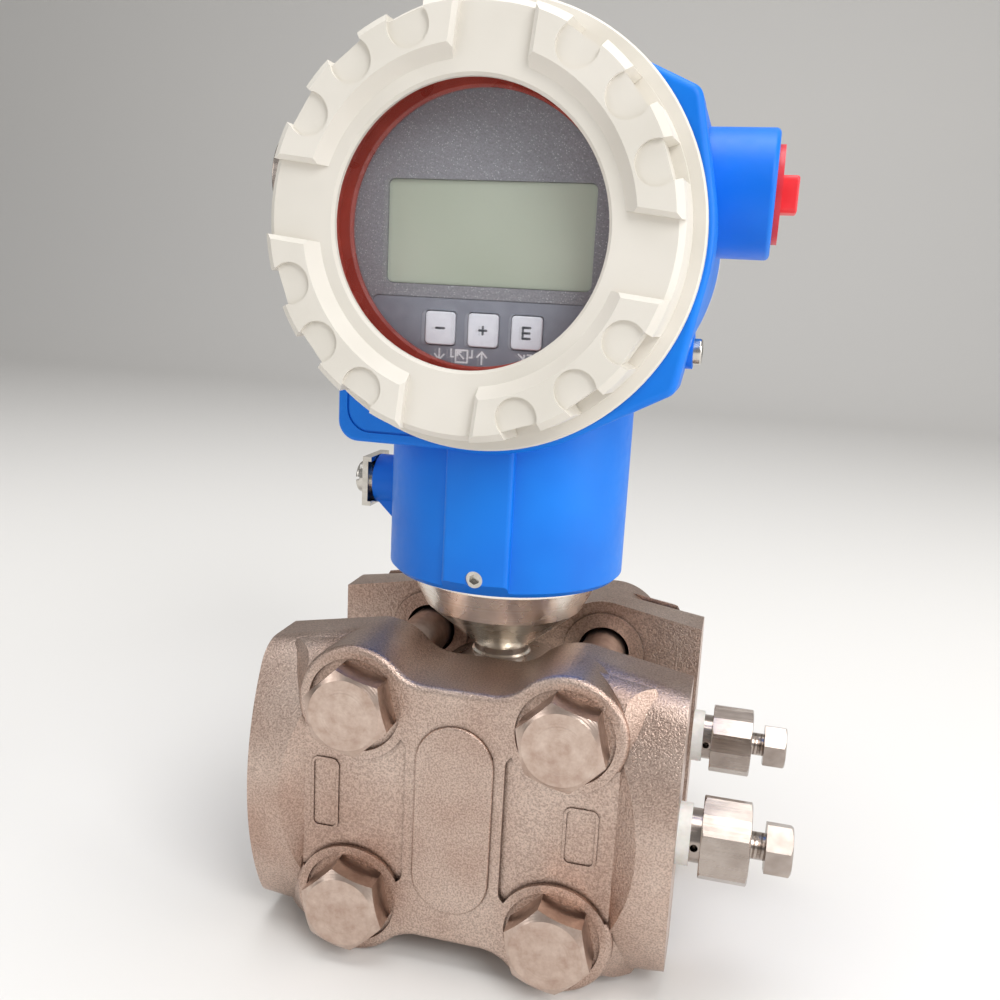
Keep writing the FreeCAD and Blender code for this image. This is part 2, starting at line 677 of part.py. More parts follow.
def housing():
    """One die casting: drum body, two collars, barrel, lug, cable entries and both chambers."""
    collars = [rod(collar_r, drum(0, s * (body_half_depth - 3.0), 0), Y * s, collar_length + 3.0) for s in (-1, 1)]
    solids = [drum_body(), barrel(), cover_lug(), entry_boss(1), entry_boss(-1), ground_boss()] + collars
    solids.append(rod(lock_head_r + 1.0, lock_point(-8.0), X, 8.0))
    casting = all_in_one(solids)
    reach = body_half_depth + collar_length + 1.0
    front_room = rod(chamber_bore_r, drum(0, chamber_wall_front, 0), Y * -1, reach + chamber_wall_front)
    rear_room = rod(chamber_bore_r, drum(0, chamber_wall_rear, 0), Y, reach - chamber_wall_rear)
    socket_top = shoulder_z + spigot_length + 1.0
    socket = rod(spigot_r + fit_gap, at(0, 0, housing_foot_z - 1.0), Z, socket_top - housing_foot_z + 1.0)
    throat = rod(spigot_r + 4.0, at(0, 0, socket_top), Z, 14.0)
    wire_way = rod(5.0, at(0, -20.0, socket_top), Z, 28.0)
    supply_way = rod(7.0, at(-8.0, 12.0, socket_top), Z, 28.0)
    entry_length = 2.0 * entry_boss_reach
    entries = rod(entry_bore_r, at(-entry_boss_reach, 0, entry_z), X, entry_length)
    entries = entries.cut(rod(chamber_bore_r - 6.0, drum(0, -chamber_bore_r, 0), Y, 2 * chamber_bore_r))
    screw_z = housing_foot_z + set_screw_z_offset
    screw_hole = rod(set_screw_d / 2.0 + fit_gap, at(0, 0, screw_z), Y * -1, 2 * barrel_r)
    lock_hole = rod(lock_screw_r + fit_gap, lock_point(-8.0), X, 12.0)
    ground_hole = rod(ground_screw_r + fit_gap, ground_point(-10.0), X * -1, 12.0)
    cuts = [front_room, rear_room, socket, throat, wire_way, supply_way, entries]
    return casting.cut(cuts + [screw_hole, lock_hole, ground_hole]).removeSplitter()


def set_screw():
    """Cup-point grub screw with a hexagon socket, flush in the rib and down in the neck groove."""
    z = housing_foot_z + set_screw_z_offset
    outer = barrel_r + rib_proud - 0.7
    inner = spigot_r - lock_groove_depth + slide_gap
    screw = rod(set_screw_d / 2.0, at(0, -outer, z), Y, outer - inner)
    return screw.cut(hexagon(2.2, at(0, -outer, z), Y, 1.8))


def lock_point(x):
    """A point on the cover lock screw's axis, measured out from the end of its boss."""
    return drum(lock_wall_x + x, lock_screw_y, lock_screw_z)


def cover_lock_screw():
    """Socket head screw in the side wall that locks the front cover."""
    shank = rod(lock_screw_r, lock_point(-7.0), X, 7.0)
    head = rod(lock_head_r, lock_point(0), X, lock_head_h)
    rim = [e for e in head.Edges if abs(middle(e).x - lock_point(lock_head_h).x) < 0.01]
    socket = hexagon(2.5, lock_point(lock_head_h), X * -1, 1.3)
    return shank.fuse(head.makeFillet(0.5, rim)).cut(socket)


# ---------------------------------------------------------------- external ground terminal
def ground_point(x):
    """A point on the ground screw's axis, measured out from the end of its boss."""
    return at(-ground_reach - x, ground_y, ground_z)


def ground_washer():
    return tube(ground_washer_r, ground_screw_r + 0.2, ground_point(0), X * -1, ground_washer_t)


def ground_clamp():
    """Square saddle plate over the washer, with two ears turned in to keep the wire under it."""
    half = ground_clamp_w / 2.0
    start = ground_washer_t
    plate = block(-ground_reach - start - ground_clamp_t, -ground_reach - start, ground_y - half, ground_y + half,
                  ground_z - half, ground_z + half)
    ears = []
    for z0 in (ground_z - half, ground_z + half - 1.2):
        ears.append(block(-ground_reach - start, -ground_reach - 0.3, ground_y - half, ground_y + half,
                          z0, z0 + 1.2))
    return all_in_one([plate] + ears).cut(rod(ground_screw_r + 0.2, ground_point(-1.0), X * -1, 8.0))


def ground_screw():
    """Slotted cheese head screw of the ground terminal."""
    seat = ground_washer_t + ground_clamp_t
    shank = rod(ground_screw_r, ground_point(-9.0), X * -1, 9.0 + seat)
    head = rod(ground_head_r, ground_point(seat), X * -1, ground_head_h)
    rim = [e for e in head.Edges if abs(middle(e).x - ground_point(seat + ground_head_h).x) < 0.01]
    head = head.makeFillet(0.8, rim)
    slot = Part.makeBox(1.2, 2.4 * ground_head_r, 1.0,
                        ground_point(seat + ground_head_h) - V(0, 1.2 * ground_head_r, 0.5))
    return shank.fuse(head).cut(slot)


# ---------------------------------------------------------------- covers
def cover_segment():
    """One of the four raised grip segments between two gaps; inner and outer rims are bevelled."""
    bevel = cover_top - cover_plate
    profile = [(cover_inner_r, cover_plate), (cover_inner_r + bevel, cover_top)]
    profile += [(cover_top_r - cover_bevel, cover_top), (cover_top_r, cover_top - cover_bevel)]
    profile += [(cover_top_r, cover_plate - 1.0), (cover_inner_r, cover_plate - 1.0)]
    ring = revolved(profile, drum(0, 0, 0), X, Y * -1)
    half = cover_gap_width / 2.0
    quarter = block(half, cover_r, -cover_top, -cover_plate + 1.0, drum_z + half, drum_z + cover_r)
    segment = ring.common(quarter)
    walls = []
    for edge in segment.Edges:
        if edge.Curve.TypeId == "Part::GeomLine" and abs(middle(edge).y + cover_top) < 0.01:
            walls.append(edge)
    return segment.makeChamfer(cover_wall_bevel, walls)


def cover_notches():
    """Finger notches: a shallow round recess with the outer wall cut to a flat behind it."""
    tools = []
    for quarter in range(4):
        for k in (-1, 0, 1):
            angle = 45.0 + 90.0 * quarter + notch_step * k
            recess = rod(notch_r, drum(notch_pitch_r, -cover_top + notch_depth, 0), Y * -1, 5.0)
            flat = Part.makeBox(cover_r, cover_top - cover_shoulder - 1.0, 2 * notch_r - 0.8,
                                drum(notch_chord_r, -cover_top, -notch_r + 0.4))
            for tool in (recess, flat):
                tool.rotate(drum(0, 0, 0), Y, -angle)
                tools.append(tool)
    return tools


def cover_shell(profile):
    """A screw cover: a turned shell, four raised segments and twelve finger notches."""
    shell = revolved(profile, drum(0, 0, 0), X, Y * -1)
    parts = [shell]
    for quarter in range(4):
        segment = cover_segment()
        segment.rotate(drum(0, 0, 0), Y, 90.0 * quarter)
        parts.append(segment)
    cover = all_in_one(parts).cut(cover_notches())
    cover.rotate(drum(0, 0, 0), Y, -cover_turn)
    return cover


def cover_outside():
    """Outer profile shared by both covers, from the mouth round to the plate."""
    mouth = body_half_depth + cover_seat_gap
    shoulder_r = cover_top_r + 0.6
    bevel = cover_base_bevel
    points = [(cover_r, mouth), (cover_r, cover_shoulder - bevel), (cover_r - bevel, cover_shoulder)]
    points += [(shoulder_r, cover_shoulder), (cover_top_r, cover_plate - 1.2), (cover_top_r - 1.2, cover_plate)]
    return points


def cover_mouth():
    """Inner profile shared by both covers: seal groove at the mouth, then the thread."""
    mouth = body_half_depth + cover_seat_gap
    thread_r = collar_r + cover_thread_gap
    groove_r = thread_r + 2 * cover_seal_r + 2 * seat_gap
    groove_start = mouth + 1.0
    groove_end = groove_start + 2 * cover_seal_r + 2 * seat_gap
    points = [(thread_r, groove_end), (groove_r, groove_end), (groove_r, groove_start)]
    points += [(thread_r, groove_start), (thread_r, mouth)]
    return points


def cover_seal():
    """Seal ring carried in the groove at the mouth of the front cover."""
    centre_r = collar_r + cover_thread_gap + seat_gap + cover_seal_r
    y = body_half_depth + cover_seat_gap + 1.0 + seat_gap + cover_seal_r
    return Part.makeTorus(centre_r, cover_seal_r, drum(0, -y, 0), Y)


def display_cover():
    """Front cover with the window opening and the pocket that takes the glass from inside."""
    pocket_top = cover_plate - window_lip
    thread_r = collar_r + cover_thread_gap
    inside = body_half_depth + collar_length + 1.2
    profile = cover_outside()
    profile += [(window_r + 0.6, cover_plate), (window_r, cover_plate - 0.6), (window_r, pocket_top)]
    skirt_end = display_front - 1.8
    profile += [(window_pocket_r, pocket_top), (window_pocket_r, skirt_end), (window_skirt_r, skirt_end)]
    profile += [(window_skirt_r, inside), (thread_r, inside)]
    return cover_shell(profile + cover_mouth())


def rear_cover():
    """Blank cover of the terminal chamber, as cast for the front and turned to face the rear."""
    inside = body_half_depth + collar_length + 1.2
    thread_r = collar_r + cover_thread_gap
    profile = [(0, cover_plate - 4.5), (0, cover_plate)]
    profile = profile + list(reversed(cover_outside()))
    profile += list(reversed(cover_mouth()))
    profile += [(thread_r, inside), (window_pocket_r + 2.0, inside), (window_pocket_r, cover_plate - 4.5)]
    return mirrored(cover_shell(profile))


def window_glass():
    front = cover_plate - window_lip - gasket_bead
    return rod(glass_r, drum(0, -front, 0), Y, glass_t)


def window_gasket():
    """Silicone U ring about the edge of the glass; its rear lip shows through the window."""
    front = cover_plate - window_lip
    rear = front - 2 * gasket_bead - glass_t
    outer = window_pocket_r - seat_gap
    edge = glass_r + fit_gap
    profile = [(window_r + 0.4, front), (outer, front), (outer, rear), (gasket_inner_r, rear)]
    profile += [(gasket_inner_r, rear + gasket_bead * 0.5), (gasket_inner_r + 0.5, rear + gasket_bead - fit_gap)]
    profile += [(edge, rear + gasket_bead - fit_gap), (edge, front - gasket_bead + fit_gap)]
    profile += [(window_r + 0.4, front - gasket_bead + fit_gap)]
    return revolved(profile, drum(0, 0, 0), X, Y * -1)


def window_retainer():
    """Ring pressed in behind the gasket to hold the glass."""
    rear = cover_plate - window_lip - 2 * gasket_bead - glass_t
    return tube(window_pocket_r - fit_gap, display_r + slide_gap, drum(0, -rear, 0), Y, retainer_t)


# ---------------------------------------------------------------- display and electronics
def display_frame():
    """Moulded display frame: open behind, with a window for the LCD and three key openings."""
    disc = rod(display_r, drum(0, -display_front, 0), Y, display_depth)
    hollow = rod(display_r - display_wall, drum(0, -display_front + display_wall, 0), Y, display_depth)
    half_w, half_h = lcd_width / 2.0, lcd_height / 2.0
    cx, cz = lcd_x, drum_z + lcd_z
    window = rounded_rectangle(cx - half_w, cx + half_w, cz - half_h, cz + half_h, 1.4,
                               -display_front - 1.0, -display_front + display_depth)
    pocket = key_panel_outline(key_panel_t, 0.0)
    tools = [hollow, window, pocket]
    for x in key_spots.values():
        tools.append(key_opening(x, -display_front - 1.0, -display_front + display_depth))
    rim = [e for e in disc.Edges if abs(middle(e).y + display_front) < 0.01]
    return disc.makeFillet(0.6, rim).cut(tools)


def key_panel_outline(depth, inset):
    """Printed key panel let into the lower part of the frame; inset shrinks it all round."""
    top = drum_z + key_panel_top - inset
    plate = rounded_rectangle(key_panel_left + inset, key_panel_right - inset, drum_z - display_r, top, 1.6,
                              -display_front - 0.01 * (depth == 0), -display_front + key_panel_t)
    return plate.common(rod(display_r - 1.2 - inset, drum(0, -display_front, 0), Y, display_depth))


def key_opening(x, y0, y1):
    half_w, half_h = key_width / 2.0 + key_gap, key_height / 2.0 + key_gap
    z = drum_z + key_z
    return rounded_rectangle(x - half_w, x + half_w, z - half_h, z + half_h, 0.9, y0, y1)


def key_panel():
    panel = key_panel_outline(key_panel_t, 0.15)
    tools = [key_opening(x, -display_front - 1.0, -display_front + 3.0) for x in key_spots.values()]
    return panel.cut(tools)


def key(x):
    """Key cap with a collar behind the frame that keeps it in."""
    z = drum_z + key_z
    half_w, half_h = key_width / 2.0, key_height / 2.0
    front = -display_front - key_proud
    cap = rounded_rectangle(x - half_w, x + half_w, z - half_h, z + half_h, 0.8, front, front + 5.4)
    collar_front = -display_front + display_wall + slide_gap
    collar = block(x - half_w - 0.7, x + half_w + 0.7, collar_front, front + 5.4,
                   z - half_h - 0.7, z + half_h + 0.7)
    face = [e for e in cap.Edges if abs(middle(e).y - front) < 0.01]
    return cap.makeFillet(0.3, face).fuse(collar)


def key_dome(x):
    """Rubber dome between a key and the display board."""
    board_front = -display_front + display_depth - 0.2
    key_back = -display_front - key_proud + 5.4
    gap = key_travel + 0.15
    length = board_front - key_back - gap
    return Part.makeCone(dome_foot_r, dome_top_r, length, drum(x, board_front, key_z), Y * -1)


def lcd_panel():
    half_w, half_h = lcd_width / 2.0 + 1.5, lcd_height / 2.0 + 1.5
    cz = drum_z + lcd_z
    y0 = -display_front + display_wall
    glass = block(lcd_x - half_w, lcd_x + half_w, y0, y0 + lcd_t, cz - half_h, cz + half_h)
    step_w, step_h = lcd_width / 2.0 - 0.1, lcd_height / 2.0 - 0.1
    face = rounded_rectangle(lcd_x - step_w, lcd_x + step_w, cz - step_h, cz + step_h, 1.3,
                             -display_front + lcd_recess, y0)
    return glass.fuse(face).removeSplitter()


def lcd_frame_posts():
    """Two moulded spacers that press the LCD against its window."""
    y0 = -display_front + display_wall + lcd_t
    y1 = -display_front + display_depth - 0.2
    z0 = drum_z + lcd_z - spacer_half_height
    z1 = drum_z + lcd_z + spacer_half_height
    w = spacer_half_width
    return [block(lcd_x + s * spacer_x - w, lcd_x + s * spacer_x + w, y0, y1, z0, z1) for s in (-1, 1)]


def display_board():
    front = -display_front + display_depth - 0.2
    return rod(board_r - 0.2, drum(0, front, 0), Y, board_t)


def electronics_module():
    """Potted electronics can on the chamber floor, with a raised rim for the display."""
    front = -display_front + display_depth - 0.2 + board_t
    can = rod(chamber_bore_r - 1.0, drum(0, chamber_wall_front, 0), Y * -1, -front + chamber_wall_front - 2.0)
    boss = rod(board_r - 2.0, drum(0, front, 0), Y, 2.0)
    module = can.fuse(boss).removeSplitter()
    return module.cut([module_screw_hole(k) for k in range(3)])


def module_screw_spot(k):
    angle = math.radians(90.0 + 120.0 * k)
    r = chamber_bore_r - 4.5
    return r * math.cos(angle), r * math.sin(angle)


def module_screw_hole(k):
    sx, sz = module_screw_spot(k)
    return rod(1.6, drum(sx, chamber_wall_front + 1.0, sz), Y * -1, 30.0)


def module_screw(k):
    sx, sz = module_screw_spot(k)
    can_front = -display_front + display_depth - 0.2 + board_t + 2.0
    head = rod(2.8, drum(sx, can_front, sz), Y * -1, 1.8)
    slot = Part.makeBox(6.0, 0.8, 0.8, drum(sx - 3.0, can_front - 1.8, sz - 0.4))
    return head.fuse(rod(1.5, drum(sx, can_front, sz), Y, chamber_wall_front - can_front)).cut(slot)


def terminal_block():
    """Moulded block with two field terminals and a test socket, on the wall of the rear chamber."""
    half = terminal_block_half
    seat = chamber_wall_rear + terminal_base_t
    foot, top = drum_z + terminal_block_foot, drum_z + terminal_block_top
    body = rounded_rectangle(-half, half, foot, top, 2.0, chamber_wall_rear, seat + terminal_wall_t)
    tools = []
    for x in terminal_xs:
        bay = terminal_bay_half
        tools.append(block(x - bay, x + bay, seat - 1.0, seat + terminal_wall_t + 1.0, foot - 1.0,
                           drum_z + terminal_bay_top))
        tools.append(rod(terminal_screw_r + 0.1, drum(x, seat - 6.0, terminal_screw_z), Y, 10.0))
    return body.cut(tools)


def terminal_screw(x):
    seat = chamber_wall_rear + terminal_base_t - 1.0
    half = terminal_plate / 2.0
    shank = rod(terminal_screw_r, drum(x, seat - 4.0, terminal_screw_z), Y, 4.0)
    plate = Part.makeBox(terminal_plate, terminal_plate_t, terminal_plate,
                         drum(x - half, seat, terminal_screw_z - half))
    head = rod(terminal_head_r, drum(x, seat + terminal_plate_t, terminal_screw_z), Y, terminal_head_h)
    slot = Part.makeBox(2.2 * terminal_head_r, 1.2, 0.9,
                        drum(x - 1.1 * terminal_head_r, seat + terminal_plate_t + terminal_head_h - 1.1,
                             terminal_screw_z - 0.45))
    return shank.fuse([plate, head]).cut(slot)


# ---------------------------------------------------------------- cable entry plugs
def transit_plug():
    """Plastic transit plug: shank in the entry bore, thin flange and a square grip tab."""
    end = at(entry_boss_reach, 0, entry_z)
    shank = tube(transit_shank_d / 2.0, transit_shank_d / 2.0 - 1.6, end - X * transit_shank_length, X,
                 transit_shank_length)
    flange_disc = rod(transit_flange_d / 2.0, end, X, transit_flange_t)
    half = transit_tab / 2.0
    tab = Part.makeBox(transit_tab_length, transit_tab, transit_tab,
                       end + V(transit_flange_t, -half, -half))
    tab = fillet_along(tab, X, 1.2)
    outer = [e for e in tab.Edges if abs(middle(e).x - end.x - transit_flange_t - transit_tab_length) < 0.01]
    return all_in_one([flange_disc, shank, tab.makeFillet(0.6, outer)])


def blanking_plug():
    """Low stainless plug with a hexagon socket, screwed into the second cable entry."""
    seat = at(-entry_boss_reach - seal_washer_t, 0, entry_z)
    shank = rod(entry_bore_r - fit_gap, seat, X, plug_shank_length)
    collar = rod(plug_collar_r, seat, X * -1, plug_collar_t)
    rim = [e for e in collar.Edges if abs(middle(e).x - seat.x + plug_collar_t) < 0.01]
    socket = hexagon(plug_socket_af, seat - X * plug_collar_t, X, plug_socket_depth, 12.0)
    return shank.fuse(collar.makeFillet(0.4, rim)).cut(socket)


def plug_washer():
    end = at(-entry_boss_reach, 0, entry_z)
    return tube(seal_washer_r, entry_bore_r + 0.2, end, X * -1, seal_washer_t)


# ---------------------------------------------------------------- nodes
def nodes():
    """Every sub-part by node name; like fasteners share a node as separate solids."""
    front = flange()
    made = {"front_flange": [front], "rear_flange": [mirrored(front)]}
    made["clamp_bolts"] = [clamp_bolt(bx, bz) for bx, bz in bolt_spots]
    made["clamp_nuts"] = [clamp_nut(bx, bz) for bx, bz in bolt_spots]
    made["cell_body"] = [cell_body()]
    made["isolating_diaphragms"] = [diaphragm(), mirrored(diaphragm())]
    made["cell_seals"] = [cell_seal(), mirrored(cell_seal())]
    made["neck_adapter"] = [neck_adapter()]
    made["neck_seal"] = [neck_seal()]
    for side, y in (("front", -port_y), ("rear", port_y)):
        made["vent_body_" + side] = [vent_body(y)]
        made["vent_ball_" + side] = [vent_ball(y)]
        made["vent_screw_" + side] = [vent_screw(y)]
    made["vent_thread_tape"] = [vent_tape(-port_y), vent_tape(port_y)]
    made["housing"] = [housing()]
    made["housing_set_screw"] = [set_screw()]
    made["cover_lock_screw"] = [cover_lock_screw()]
    made["ground_washer"] = [ground_washer()]
    made["ground_clamp"] = [ground_clamp()]
    made["ground_screw"] = [ground_screw()]
    made["display_cover"] = [display_cover()]
    made["window_glass"] = [window_glass()]
    made["window_gasket"] = [window_gasket()]
    made["window_retainer"] = [window_retainer()]
    made["front_cover_seal"] = [cover_seal()]
    made["rear_cover"] = [rear_cover()]
    made["rear_cover_seal"] = [mirrored(cover_seal())]
    made["display_frame"] = [display_frame()]
    made["lcd_panel"] = [lcd_panel()]
    made["lcd_spacers"] = lcd_frame_posts()
    made["key_panel"] = [key_panel()]
    made["key_domes"] = [key_dome(x) for x in key_spots.values()]
    for name, x in key_spots.items():
        made[name] = [key(x)]
    made["display_board"] = [display_board()]
    made["electronics_module"] = [electronics_module()]
    made["module_screws"] = [module_screw(k) for k in range(3)]
    made["terminal_block"] = [terminal_block()]
    made["terminal_screws"] = [terminal_screw(x) for x in terminal_xs]
    made["transit_plug"] = [transit_plug()]
    made["blanking_plug"] = [blanking_plug()]
    made["plug_washer"] = [plug_washer()]
    return made


os.makedirs("parts", exist_ok=True)
for name, solids in nodes().items():
    shape = solids[0] if len(solids) == 1 else Part.makeCompound(solids)
    shape.exportStep("parts/" + name + ".step")
    box = shape.BoundBox
    print(f"{name:22s} solids {len(shape.Solids)} valid {shape.isValid()} volume {shape.Volume:10.1f}",
          f"x {box.XMin:7.1f} {box.XMax:7.1f} y {box.YMin:7.1f} {box.YMax:7.1f} z {box.ZMin:7.1f} {box.ZMax:7.1f}")
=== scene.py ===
import bpy
import math
import numpy as np
from mathutils import Matrix, Vector


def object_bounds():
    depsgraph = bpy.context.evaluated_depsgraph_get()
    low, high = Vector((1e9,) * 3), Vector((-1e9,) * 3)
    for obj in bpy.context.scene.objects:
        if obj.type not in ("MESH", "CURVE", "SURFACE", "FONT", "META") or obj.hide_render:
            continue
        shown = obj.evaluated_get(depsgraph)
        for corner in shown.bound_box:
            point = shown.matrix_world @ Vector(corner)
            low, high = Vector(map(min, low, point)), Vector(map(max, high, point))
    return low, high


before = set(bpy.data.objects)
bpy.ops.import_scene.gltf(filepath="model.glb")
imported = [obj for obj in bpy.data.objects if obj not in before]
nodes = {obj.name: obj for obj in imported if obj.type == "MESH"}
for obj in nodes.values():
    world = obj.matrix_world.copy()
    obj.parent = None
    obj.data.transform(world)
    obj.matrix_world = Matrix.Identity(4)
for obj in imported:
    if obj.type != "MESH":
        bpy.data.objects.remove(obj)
cad_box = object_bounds()
mm = 0.001

# ---- Process flanges
# Two investment castings in stainless steel that clamp the cell. They are bead blasted all over,
# which leaves a frosted grain, drawn here at about half a millimetre so that it shows.


def linear(hex_colour):
    """sRGB hex to linear red, green, blue and alpha."""
    levels = np.array([int(hex_colour[k:k + 2], 16) / 255 for k in (1, 3, 5)])
    low = levels / 12.92
    high = ((levels + 0.055) / 1.055) ** 2.4
    return tuple(np.where(levels <= 0.04045, low, high)) + (1.0,)


def add(tree, kind, inputs=None, **settings):
    """Adds a node; inputs gives each socket a value or a link from another socket."""
    made = tree.nodes.new(kind)
    for name, value in settings.items():
        setattr(made, name, value)
    for name, value in (inputs or {}).items():
        if isinstance(value, bpy.types.NodeSocket):
            tree.links.new(value, made.inputs[name])
        else:
            made.inputs[name].default_value = value
    return made


def material(name, **sockets):
    """A new material with its Principled shader; sockets are set by name, _ standing for a space."""
    made = bpy.data.materials.new(name)
    made.use_nodes = True
    shader = made.node_tree.nodes["Principled BSDF"]
    for socket, value in sockets.items():
        shader.inputs[socket.replace("_", " ")].default_value = value
    return made, made.node_tree, shader


def place(tree, scale=(1, 1, 1), shift=(0, 0, 0)):
    """Object coordinates, shifted and stretched, as a vector socket."""
    spot = add(tree, "ShaderNodeTexCoord").outputs["Object"]
    made = add(tree, "ShaderNodeMapping", {"Vector": spot, "Scale": scale, "Location": shift})
    return made.outputs["Vector"]


def cloud(tree, size, spot, detail=2.0, roughness=0.5):
    """Noise whose patches are about size across, in metres."""
    made = add(tree, "ShaderNodeTexNoise", {"Vector": spot, "Scale": 1.0 / size, "Detail": detail,
                                            "Roughness": roughness})
    return made.outputs["Fac"]


def tones(tree, value, low, high, start=0.3, end=0.7):
    """Two hex tones blended as value goes from start to end."""
    ramp = add(tree, "ShaderNodeValToRGB", {"Fac": value})
    ramp.color_ramp.elements[0].position = start
    ramp.color_ramp.elements[1].position = end
    ramp.color_ramp.elements[0].color = linear(low)
    ramp.color_ramp.elements[1].color = linear(high)
    return ramp.outputs["Color"]


def between(tree, value, low, high, start=0.3, end=0.7):
    """A number that goes from low to high as value goes from start to end."""
    made = add(tree, "ShaderNodeMapRange", {"Value": value, "From Min": start, "From Max": end,
                                            "To Min": low, "To Max": high})
    return made.outputs["Result"]


def relief(tree, shader, height, depth, strength=1.0):
    """Bump of a real depth in metres from a height socket."""
    bump = add(tree, "ShaderNodeBump", {"Height": height, "Distance": depth, "Strength": strength})
    tree.links.new(bump.outputs["Normal"], shader.inputs["Normal"])


def wear(made, *names):
    """Gives a material to CAD nodes by name."""
    for name in names:
        nodes[name].data.materials.clear()
        nodes[name].data.materials.append(made)


def painted_crease_shade(tree, colour, reach, dark):
    """The colour times dark in corners narrower than reach: painted shade, from ambient occlusion."""
    open_share = add(tree, "ShaderNodeAmbientOcclusion", {"Distance": reach}, samples=6, only_local=True)
    level = between(tree, open_share.outputs["AO"], dark, 1.0, 0.45, 0.85)
    return add(tree, "ShaderNodeVectorMath", {0: colour, "Scale": level}, operation="SCALE").outputs[0]


def blasted_steel():
    """Cast stainless steel, bead blasted: frosted grain over slow warm patches, with painted shade in narrow
    corners.
    """
    made, tree, shader = material("bead-blasted cast stainless steel", Metallic=1.0)
    spot = place(tree)
    slow = cloud(tree, 26 * mm, spot, 2.0)
    grit = cloud(tree, 0.42 * mm, spot, 2.0, 0.6)
    base = tones(tree, slow, "#C2A697", "#DBC6B9", 0.34, 0.66)
    glint = tones(tree, grit, "#8B807A", "#FFFFFF", 0.36, 0.62)
    mixed = add(tree, "ShaderNodeMix", {"Factor": 0.5}, data_type="RGBA", blend_type="MULTIPLY")
    tree.links.new(base, mixed.inputs["A"])
    tree.links.new(glint, mixed.inputs["B"])
    # Painted shade: the flange colour is darkened in narrow corners.
    tree.links.new(painted_crease_shade(tree, mixed.outputs["Result"], 1.6 * mm, 0.35), shader.inputs["Base Color"])
    tree.links.new(between(tree, slow, 0.30, 0.37), shader.inputs["Roughness"])
    relief(tree, shader, grit, 0.2 * mm, 0.9)
    return made


wear(blasted_steel(), "front_flange", "rear_flange")

# ---- Clamp bolts and nuts
# Four M12 bolts of stainless bar with forged heads. The heads are faced on a lathe, so the round
# land shows faint rings and a mottled skin.

bolt_pitch = 49.0 * mm
flange_middle = 50.0 * mm
facing_rings = 2600.0


def bolt_radius(tree):
    """Distance from the nearest bolt axis, from the fold |x - middle| and |z| about one bolt."""
    spot = add(tree, "ShaderNodeTexCoord").outputs["Object"]
    split = add(tree, "ShaderNodeSeparateXYZ", {"Vector": spot})
    folded = []
    for socket, middle in (("X", flange_middle), ("Z", 0.0)):
        shifted = add(tree, "ShaderNodeMath", {0: split.outputs[socket], 1: middle}, operation="SUBTRACT")
        size = add(tree, "ShaderNodeMath", {0: shifted.outputs[0]}, operation="ABSOLUTE")
        local = add(tree, "ShaderNodeMath", {0: size.outputs[0], 1: bolt_pitch / 2}, operation="SUBTRACT")
        folded.append(local.outputs[0])
    flat = add(tree, "ShaderNodeCombineXYZ", {"X": folded[0], "Y": folded[1]})
    return add(tree, "ShaderNodeVectorMath", {0: flat.outputs[0]}, operation="LENGTH").outputs["Value"]


def forged_bolt():
    """Stainless bolt: mottled forged skin with the rings of a facing cut."""
    made, tree, shader = material("forged stainless bolt, faced head", Metallic=1.0)
    spot = place(tree)
    radius = bolt_radius(tree)
    rings = add(tree, "ShaderNodeTexNoise", {"W": radius, "Scale": facing_rings, "Detail": 1.0},
                noise_dimensions="1D").outputs["Fac"]
    skin = cloud(tree, 2.8 * mm, spot, 4.0, 0.6)
    base = tones(tree, skin, "#B79E90", "#D2BFB2", 0.3, 0.7)
    # Painted shade: the bolt colour is darkened in narrow corners.
    tree.links.new(painted_crease_shade(tree, base, 1.2 * mm, 0.4), shader.inputs["Base Color"])
    tree.links.new(between(tree, skin, 0.36, 0.28), shader.inputs["Roughness"])
    both = add(tree, "ShaderNodeMath", {0: rings, 1: skin}, operation="ADD").outputs[0]
    relief(tree, shader, both, 0.06 * mm, 0.7)
    return made


wear(forged_bolt(), "clamp_bolts", "clamp_nuts")

# ---- Measuring cell, diaphragms and seals
# A turned stainless capsule with a thin rippled diaphragm welded on each side. White PTFE rings
# seal it against the flanges. Only its round edge shows between them.


def turned_steel(name, axis, pitch, low, high, rough=(0.24, 0.36)):
    """Turned stainless: fine lines across the given axis, one per tool feed."""
    made, tree, shader = material(name, Metallic=1.0)
    spot = add(tree, "ShaderNodeTexCoord").outputs["Object"]
    along = add(tree, "ShaderNodeSeparateXYZ", {"Vector": spot}).outputs[axis]
    lines = add(tree, "ShaderNodeTexNoise", {"W": along, "Scale": 1.0 / pitch, "Detail": 2.0},
                noise_dimensions="1D").outputs["Fac"]
    patch = cloud(tree, 6 * mm, spot, 2.0)
    tree.links.new(tones(tree, lines, low, high, 0.35, 0.65), shader.inputs["Base Color"])
    tree.links.new(between(tree, patch, *rough), shader.inputs["Roughness"])
    relief(tree, shader, lines, 0.008 * mm, 0.5)
    return made


def white_ptfe():
    """Sintered PTFE: waxy white with a faint cloud."""
    made, tree, shader = material("sintered white PTFE", Roughness=0.42, Subsurface_Weight=0.15,
                                  Subsurface_Scale=0.002)
    patch = cloud(tree, 2.5 * mm, place(tree), 2.0)
    tree.links.new(tones(tree, patch, "#E4E3DE", "#F4F3EF"), shader.inputs["Base Color"])
    relief(tree, shader, patch, 0.03 * mm, 0.5)
    return made


wear(turned_steel("turned stainless cell", "Y", 0.4 * mm, "#A79E94", "#C6BDB3"), "cell_body")
wear(turned_steel("rolled stainless foil", "Y", 0.2 * mm, "#B9B4AC", "#D2CDC6", (0.15, 0.25)),
     "isolating_diaphragms")
wear(white_ptfe(), "cell_seals", "vent_thread_tape")

# ---- Neck
# One turned stainless piece: stub, collar, cone and the spigot that the housing sits on. The tool
# leaves fine lines round it, so its highlight is a sharp upright band.

wear(turned_steel("turned stainless neck", "Z", 0.5 * mm, "#F0E6DA", "#F8F2E9", (0.22, 0.32)), "neck_adapter")

